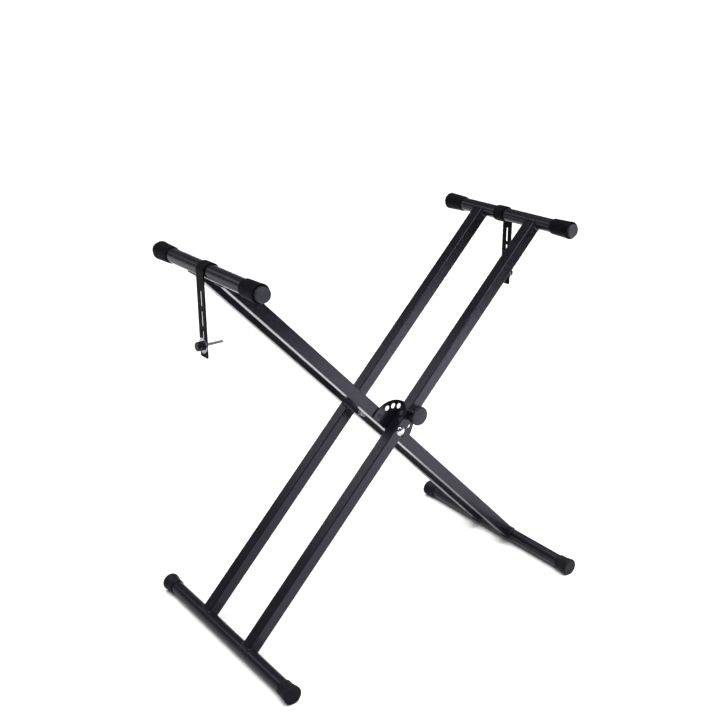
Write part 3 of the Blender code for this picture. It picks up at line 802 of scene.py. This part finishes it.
class STAND_OT_lock_plate(bpy.types.Operator):
    """The half-round plate with its seven holes, and its two rivets"""

    bl_idname = "stand.lock_plate"
    bl_label = "Lock plate"

    def execute(self, context):
        thickness = span("lock_disc").y
        centre = Vector((PIVOT.x, middle("lock_disc").y, PIVOT.z))
        deselect()
        bpy.ops.mesh.primitive_cylinder_add(
            vertices=160, radius=PLATE_RADIUS, depth=thickness, location=centre, rotation=facing(Y)
        )
        plate = settled("pressed_lock_disc")
        below = LEG_AXIS["inner"].cross(Y)
        below *= -1 if below.z > 0 else 1
        trim(centre + below * PLATE_SKIRT, below, clear_outer=True)
        bpy.ops.object.mode_set(mode="OBJECT")
        reach = Vector((LOCK.x - PIVOT.x, 0.0, LOCK.z - PIVOT.z))
        for number in range(PLATE_HOLES):
            spoke = Matrix.Rotation((HOLE_IN_USE - number) * HOLE_PITCH, 3, "Y") @ reach
            carve(plate, rod_cutter(centre + spoke, Y, PLATE_HOLE, -thickness, thickness, 40))
        soften(plate, context.scene.stand_sizes.plate_edge)
        fit_out(plate, "inner_frame", powder_coated_steel(), "black_powder_coat", "lock_disc")

        title = "disc_rivet_upper"
        wide = span(title).x / 2
        head = self.rivet_face(title)
        rings = [
            (wide * 0.35, 0.0), (wide * 0.70, -0.08 * MM), (wide * 0.90, -0.22 * MM),
            (wide, -0.5 * MM), (wide * 0.55, -0.5 * MM), (wide * 0.55, -span(title).y),
        ]
        upper = turned("set_" + title, head, -Y, rings, facets=40)
        soften(upper)
        lower = copied(upper, "set_disc_rivet_lower", head, self.rivet_face("disc_rivet_lower"))
        for rivet in (upper, lower):
            replaced = rivet.name.replace("set_", "")
            fit_out(rivet, "inner_frame", powder_coated_steel(), "black_powder_coat", replaced)
        return {"FINISHED"}

    def rivet_face(self, title):
        return Vector((middle(title).x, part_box(title)[0].y, middle(title).z))


class STAND_OT_lock(bpy.types.Operator):
    """The sprung pin's housing and its round pull knob"""

    bl_idname = "stand.lock"
    bl_label = "Lock knob"

    def execute(self, context):
        low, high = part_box("lock_housing")
        leg_face = Vector((LOCK.x, middle("outer_leg_front").y - TUBE / 2, LOCK.z))
        wide = span("lock_housing").x / 2
        top = leg_face.y - low.y
        sunk = leg_face.y - high.y
        rings = [
            (wide - 1.2 * MM, top), (wide - 0.35 * MM, top - 0.35 * MM), (wide, top - 1.2 * MM),
            (wide, SEAT), (NOSE_RADIUS, SEAT), (NOSE_RADIUS, sunk), (PIN_BORE, sunk), (PIN_BORE, top),
        ]
        housing = turned("moulded_lock_housing", leg_face, -Y, rings, hollow=True)
        soften(housing)
        fit_out(housing, "outer_frame", moulded_nylon(), "black_plastic", "lock_housing")

        low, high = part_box("lock_knob")
        wide = span("lock_knob").x / 2
        thick = high.y - low.y
        face = Vector((LOCK.x, low.y, LOCK.z))
        rings = [
            (wide * 0.25, -0.02 * MM), (wide * 0.50, -0.12 * MM), (wide * 0.72, -0.32 * MM),
            (wide - 2.2 * MM, -0.5 * MM), (wide - 1.1 * MM, -0.65 * MM), (wide - 0.5 * MM, -0.95 * MM),
            (wide - 0.1 * MM, -1.6 * MM), (wide, -2.4 * MM), (wide, -thick + 2.4 * MM),
            (wide - 0.3 * MM, -thick + 0.9 * MM), (wide - 1.2 * MM, -thick), (PIN_RADIUS, -thick),
            (PIN_RADIUS, -4.4 * MM),
        ]
        knob = turned("moulded_lock_knob", face, -Y, rings)
        soften(knob)
        fit_out(knob, "lock_plunger", moulded_nylon(), "black_plastic", "lock_knob")
        return {"FINISHED"}


class STAND_OT_pivots(bpy.types.Operator):
    """Two dome-headed bolts with their washers, nuts and spacers"""

    bl_idname = "stand.pivots"
    bl_label = "Pivot bolts"

    def execute(self, context):
        leg_face = abs(middle("outer_leg_front").y) + TUBE / 2
        title = "pivot_bolt_front"
        wide = span(title).x / 2
        top = -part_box(title)[0].y - leg_face
        shares = (0.12, 0.3, 0.48, 0.64, 0.78, 0.89, 0.96)
        rings = [(wide * share, top * math.sqrt(1 - (DOME_REACH * share) ** 2)) for share in shares]
        rings += [
            (wide, top * 0.30), (wide, SEAT), (BOLT_RADIUS, SEAT), (BOLT_RADIUS, top - span(title).y),
        ]
        pieces = {"bolt": turned("domed_pivot_bolt_front", PIVOT - Y * leg_face, -Y, rings)}
        soften(pieces["bolt"], 0.2 * MM, 2)
        bore = BOLT_RADIUS + PLAY
        for kind, rounding in (("washer", 0.25 * MM), ("spacer", 0.15 * MM), ("nut", 0.3 * MM)):
            title = "pivot_%s_front" % kind
            half = span(title).y / 2
            wide = span(title).x / 2
            rings = [(wide, half), (wide, -half)]
            facets = None
            if kind == "nut":
                wide = span(title).z / math.sqrt(3)
                chamfer = 0.6 * MM
                rings = [
                    (wide * 0.93, half), (wide, half - chamfer), (wide, chamfer - half),
                    (wide * 0.93, -half),
                ]
                facets = 6
            rings += [(bore, -half), (bore, half)]
            piece = turned("plated_" + title, middle(title), -Y, rings, hollow=True, facets=facets)
            pieces[kind] = soften(piece, rounding, 2)
        for kind, front in pieces.items():
            rear = copied(front, front.name.replace("front", "rear"), PIVOT, PIVOT, HALF_TURN)
            for end, piece in zip(ENDS, (front, rear)):
                title = "pivot_%s_%s" % (kind, end)
                fit_out(piece, "outer_frame", zinc_plated_steel(), "bright_zinc", title)
        return {"FINISHED"}


class STAND_OT_straps(bpy.types.Operator):
    """Two slotted straps, rolled round the arms at the top"""

    bl_idname = "stand.straps"
    bl_label = "Straps"

    def execute(self, context):
        low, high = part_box("strap_left")
        centre = self.eye("left")
        radius = BAR_RADIUS + STRAP_GAP + STRAP_THICKNESS / 2
        path = [Vector((-radius, 0.0, low.z - centre.z)), Vector((-radius, 0.0, 0.0))]
        for step in range(1, EYE_STEPS + 1):
            angle = EYE_TURN * step / EYE_STEPS
            path.append(Vector((-radius * math.cos(angle), 0.0, radius * math.sin(angle))))
        half = (high.y - low.y) / 2
        deselect()
        bpy.ops.mesh.primitive_plane_add(
            size=2 * half, location=centre + path[0], rotation=(math.pi / 2, 0.0, math.pi / 2)
        )
        strap = settled("rolled_strap_left")
        bottom = centre.z + path[0].z
        bpy.ops.object.mode_set(mode="EDIT")
        pick(strap, "VERT", lambda vertex: vertex.co.z > bottom)
        bpy.ops.mesh.delete(type="VERT")
        bpy.ops.mesh.select_mode(type="EDGE")
        bpy.ops.mesh.select_all(action="SELECT")
        bpy.ops.transform.translate(value=(0.0, 0.0, half))
        for here, there in zip(path, path[1:]):
            bpy.ops.mesh.extrude_region_move(TRANSFORM_OT_translate={"value": there - here})
        pick(strap, "VERT", lambda vertex: vertex.co.z < bottom + 0.1 * MM)
        bpy.ops.mesh.bevel(offset=STRAP_CORNER, segments=6, affect="VERTICES")
        outward()
        modify(strap, "SOLIDIFY", thickness=STRAP_THICKNESS, offset=0.0)
        for drop in SLOT_DROPS:
            carve(strap, self.slot(centre - X * radius - Z * drop))
        soften(strap, context.scene.stand_sizes.plate_edge)
        other = copied(strap, "rolled_strap_right", centre, self.eye("right"), HALF_TURN)
        for side, piece in zip(SIDES, (strap, other)):
            fit_out(piece, side + "_strap", matt_black_steel(), "black_powder_coat", "strap_" + side)
        return {"FINISHED"}

    def eye(self, side):
        return Vector((ARM[side].x, middle("strap_" + side).y, ARM[side].z))

    def slot(self, place):
        """A cutter for one slot: a cylinder whose halves are pulled apart."""
        pull = SLOT_LENGTH - SLOT_WIDTH
        foot = place - Z * pull / 2
        cutter = rod_cutter(foot, X, SLOT_WIDTH / 2, -2 * STRAP_THICKNESS, 2 * STRAP_THICKNESS, 32)
        bpy.ops.object.mode_set(mode="EDIT")
        pick(cutter, "VERT", lambda vertex: vertex.co.z > foot.z + 0.01 * MM)
        bpy.ops.transform.translate(value=(0.0, 0.0, pull))
        bpy.ops.object.mode_set(mode="OBJECT")
        return cutter


class STAND_OT_screws(bpy.types.Operator):
    """The hold-down screw of each strap, with its thread, washer and fluted head"""

    bl_idname = "stand.screws"
    bl_label = "Strap screws"

    def execute(self, context):
        start, goal = middle("strap_washer_left"), middle("strap_washer_right")
        pieces = {
            "screw": (self.screw(), "screw", zinc_plated_steel(), "bright_zinc"),
            "washer": (self.washer(), "washer", zinc_plated_steel(), "bright_zinc"),
            "screw_head": (self.head(), "screw", moulded_nylon(), "black_plastic"),
        }
        for kind, (left, body, finish, slot) in pieces.items():
            right = copied(left, left.name.replace("left", "right"), start, goal, HALF_TURN)
            for side, piece in zip(SIDES, (left, right)):
                fit_out(piece, "%s_%s" % (side, body), finish, slot, "strap_%s_%s" % (kind, side))
        return {"FINISHED"}

    def washer(self):
        title = "strap_washer_left"
        half = span(title).x / 2
        wide = span(title).z / 2
        rings = [(wide, half), (wide, -half), (SCREW_BORE, -half), (SCREW_BORE, half)]
        washer = turned("plated_" + title, middle(title), -X, rings, hollow=True)
        return soften(washer, 0.25 * MM, 2)

    def head(self):
        title = "strap_screw_head_left"
        base = Vector((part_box(title)[1].x, middle(title).y, middle(title).z))
        wide = span(title).z / 2
        tall = span(title).x
        rings = [
            (SCREW_BORE, 0.0), (wide - 0.9 * MM, 0.0), (wide - 0.2 * MM, 0.5 * MM), (wide, 1.2 * MM),
            (wide, tall - 2.2 * MM), (wide - 0.3 * MM, tall - 1.1 * MM),
            (wide - 1.0 * MM, tall - 0.3 * MM), (wide - 2.2 * MM, tall), (wide - 3.4 * MM, tall),
            (wide - 3.8 * MM, tall - 0.3 * MM),
        ]
        head = turned("moulded_" + title, base, -X, rings, facets=96)
        flute = 3.0 * MM
        for number in range(FLUTES):
            angle = math.tau * (number + 0.5) / FLUTES
            away = Y * math.cos(angle) + Z * math.sin(angle)
            place = base + away * (wide + flute - 0.9 * MM)
            carve(head, rod_cutter(place, -X, flute, -MM, tall + MM, 32))
        return soften(head, 0.2 * MM, 2)

    def screw(self):
        """A rod with a helical ridge, made by the Screw modifier and cut flat at both ends."""
        title = "strap_screw_left"
        low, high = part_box(title)
        radius = span(title).z / 2
        length = high.x - low.x
        pitch = bpy.context.scene.stand_sizes.thread_pitch
        depth = 0.6 * pitch
        deselect()
        bpy.ops.mesh.primitive_circle_add(vertices=4, radius=pitch / 2, location=(0.0, 0.0, 0.0))
        obj = bpy.context.object
        bpy.ops.object.mode_set(mode="EDIT")
        mesh = bmesh.from_edit_mesh(obj.data)
        mesh.verts.ensure_lookup_table()
        ridge = ((0.0, 0.0), (1.0, 0.42), (1.0, 0.58), (0.0, 1.0))
        for vertex, (out, rise) in zip(mesh.verts, ridge):
            vertex.co = (radius - depth + depth * out, 0.0, (rise - 1.0) * pitch)
        bmesh.update_edit_mesh(obj.data)
        pick(obj, "EDGE", lambda edge: abs(edge.verts[0].co.z - edge.verts[1].co.z) > 0.9 * pitch)
        bpy.ops.mesh.delete(type="EDGE")
        bpy.ops.object.mode_set(mode="OBJECT")
        modify(
            obj, "SCREW", screw_offset=pitch, iterations=math.ceil(length / pitch) + 2, steps=20,
            render_steps=20, use_merge_vertices=True, merge_threshold=MERGE_GAP,
        )
        bpy.ops.object.mode_set(mode="EDIT")
        bpy.ops.mesh.select_all(action="SELECT")
        bpy.ops.mesh.remove_doubles(threshold=THREAD_GAP)
        trim(Z * 0.02 * MM, Z, clear_inner=True)
        trim(Z * length, Z, clear_outer=True)
        outward()
        obj.location = Vector((high.x, middle(title).y, middle(title).z))
        obj.rotation_euler = facing(-X)
        settled("threaded_" + title)
        return soften(obj)


class STAND_OT_lock_inside(bpy.types.Operator):
    """The pin, and its spring, which shortens on the real stand as the knob is pulled"""

    bl_idname = "stand.lock_inside"
    bl_label = "Pin and spring"

    def execute(self, context):
        pin = frame["nodes"]["lock_pin"]
        if not pin.material_slots:
            pin.data.materials.append(zinc_plated_steel())
        for slot in pin.material_slots:
            slot.material = zinc_plated_steel()

        title = "lock_spring"
        low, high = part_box(title)
        spring = self.coil("wound_" + title, span(title).x / 2, high.y - low.y)
        spring.location = Vector((LOCK.x, low.y + SPRING_WIRE, LOCK.z))
        spring.rotation_euler = facing(Y)
        soften(settled("wound_" + title))
        fit_out(spring, "outer_frame", drawn_spring_steel(), "spring_steel", title)
        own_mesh(spring)
        return {"FINISHED"}

    def coil(self, title, wide, length):
        """A circle wound upwards by the Screw modifier, with both ends closed."""
        deselect()
        bpy.ops.mesh.primitive_circle_add(
            vertices=12, radius=SPRING_WIRE, location=X * (wide - SPRING_WIRE), rotation=facing(Y)
        )
        coil = settled(title)
        pitch = (length - 2 * SPRING_WIRE) / SPRING_TURNS
        modify(coil, "SCREW", screw_offset=pitch, iterations=SPRING_TURNS, steps=36, render_steps=36)
        bpy.ops.object.mode_set(mode="EDIT")
        bpy.ops.mesh.select_mode(type="EDGE")
        bpy.ops.mesh.select_all(action="DESELECT")
        bpy.ops.mesh.select_non_manifold()
        bpy.ops.mesh.fill_holes(sides=0)
        outward()
        return coil


class STAND_OT_stage(bpy.types.Operator):
    """White paper floor, soft lights and the camera

    Three cards are seen only in reflections, where they are painted shade. A black one stands in
    front, so that the legs darken towards their tops as in the shade of the instrument they carry,
    and two grey ones on the floor paint shade beside the foot bars, which darkens their left sides.
    """

    bl_idname = "stand.stage"
    bl_label = "Stage and camera"

    def execute(self, context):
        stage = context.scene.stand_stage
        deselect()
        bpy.ops.mesh.primitive_plane_add(size=FLOOR_SIZE)
        floor = settled("paper_floor")
        floor.data.materials.append(studio_paper())

        shades = context.scene.stand_colours
        black = uncoated_card("black_card", shades.matt_black, shades.matt_wear)
        self.card("black_card", black, *BLACK_CARD)
        grey = uncoated_card("grey_card", shades.grey_card, shades.grey_card)
        for number, sheet in enumerate(GREY_CARDS):
            self.card("grey_card_%d" % number, grey, *sheet)

        context.scene.view_settings.view_transform = "Standard"
        self.surround(context.scene, stage)
        self.soft_light("back_light", stage.back_light, *BACK_LIGHT)
        self.soft_light("floor_light", stage.floor_light, *FLOOR_LIGHT)
        self.soft_light("key_light", stage.key_light, *KEY_LIGHT)

        ahead = Vector((
            math.sin(stage.yaw) * math.cos(stage.pitch),
            math.cos(stage.yaw) * math.cos(stage.pitch),
            -math.sin(stage.pitch),
        ))
        level = Vector((math.cos(stage.yaw), -math.sin(stage.yaw), 0.0))
        upright = level.cross(ahead)
        right = level * math.cos(stage.roll) + upright * math.sin(stage.roll)
        up = upright * math.cos(stage.roll) - level * math.sin(stage.roll)
        facing_photo = Matrix((right, up, -ahead)).transposed().to_euler()
        bpy.ops.object.camera_add(location=PIVOT + Vector(stage.camera_place), rotation=facing_photo)
        camera = context.object
        camera.name = "photo_camera"
        camera.data.lens = stage.lens
        camera.data.sensor_fit = "HORIZONTAL"
        camera.data.sensor_width = SENSOR_WIDTH
        camera.data.clip_end = VIEW_REACH
        context.scene.camera = camera
        return {"FINISHED"}

    def card(self, title, finish, place, size, tilt):
        """A card that only reflections see, where it is painted shade."""
        bpy.ops.mesh.primitive_plane_add(size=1.0, location=place, rotation=(tilt, 0.0, 0.0))
        bpy.context.object.scale = (size[0], size[1], 1.0)
        sheet = settled(title)
        sheet.data.materials.append(finish)
        sheet.visible_camera = sheet.visible_diffuse = sheet.visible_shadow = False

    def surround(self, scene, stage):
        """A white surround: bright at the horizon, dim half way up, a soft light overhead."""
        world = bpy.data.worlds.new("white_surround")
        world.use_nodes = True
        tree = world.node_tree
        way = node(tree, "ShaderNodeTexCoord").outputs["Generated"]
        height = node(tree, "ShaderNodeSeparateXYZ", links={"Vector": way}).outputs["Z"]
        # Each band has two heights, sines of the angle above the level, and a strength at each.
        bands = ((0.06, 0.40, stage.horizon, stage.walls), (0.74, 0.92, 0.0, stage.overhead))
        glows = []
        for low, high, first, second in bands:
            settings = {
                "interpolation_type": "SMOOTHSTEP", "From Min": low, "From Max": high,
                "To Min": first, "To Max": second,
            }
            glows.append(node(tree, "ShaderNodeMapRange", settings, {"Value": height}).outputs["Result"])
        total = node(tree, "ShaderNodeMath", {"operation": "ADD"}, dict(enumerate(glows))).outputs[0]
        background = tree.nodes["Background"]
        background.inputs["Color"].default_value = (1.0, 1.0, 1.0, 1.0)
        tree.links.new(total, background.inputs["Strength"])
        scene.world = world

    def soft_light(self, name, power, place, target, size):
        turn = facing(Vector(place) - Vector(target))
        bpy.ops.object.light_add(type="AREA", location=place, rotation=turn)
        light = bpy.context.object
        light.name = name
        light.data.size = size
        light.data.energy = power
        light.visible_camera = False


PIECES = (
    STAND_OT_legs, STAND_OT_welds, STAND_OT_bars, STAND_OT_foot_caps, STAND_OT_grips, STAND_OT_plugs,
    STAND_OT_lock_plate, STAND_OT_lock, STAND_OT_pivots, STAND_OT_straps, STAND_OT_screws,
    STAND_OT_lock_inside, STAND_OT_stage,
)
GROUPS = (StandSizes, StandColours, StageSettings)


class STAND_PT_panel(bpy.types.Panel):
    """Lists the stand's pieces in the sidebar"""

    bl_idname = "STAND_PT_panel"
    bl_label = "Double X Stand"
    bl_space_type = "VIEW_3D"
    bl_region_type = "UI"
    bl_category = "Stand"

    def draw(self, context):
        for operator in PIECES:
            self.layout.operator(operator.bl_idname)
        for group in (context.scene.stand_sizes, context.scene.stand_colours, context.scene.stand_stage):
            column = self.layout.column()
            for name in group.__annotations__:
                column.prop(group, name)


def register():
    for item in GROUPS + PIECES + (STAND_PT_panel,):
        bpy.utils.register_class(item)
    bpy.types.Scene.stand_sizes = PointerProperty(type=StandSizes)
    bpy.types.Scene.stand_colours = PointerProperty(type=StandColours)
    bpy.types.Scene.stand_stage = PointerProperty(type=StageSettings)


def unregister():
    del bpy.types.Scene.stand_stage
    del bpy.types.Scene.stand_colours
    del bpy.types.Scene.stand_sizes
    for item in reversed(GROUPS + PIECES + (STAND_PT_panel,)):
        bpy.utils.unregister_class(item)


def main():
    register()
    for operator in PIECES:
        group, name = operator.bl_idname.split(".")
        getattr(getattr(bpy.ops, group), name)()
    deselect()


if __name__ == "__main__":
    main()
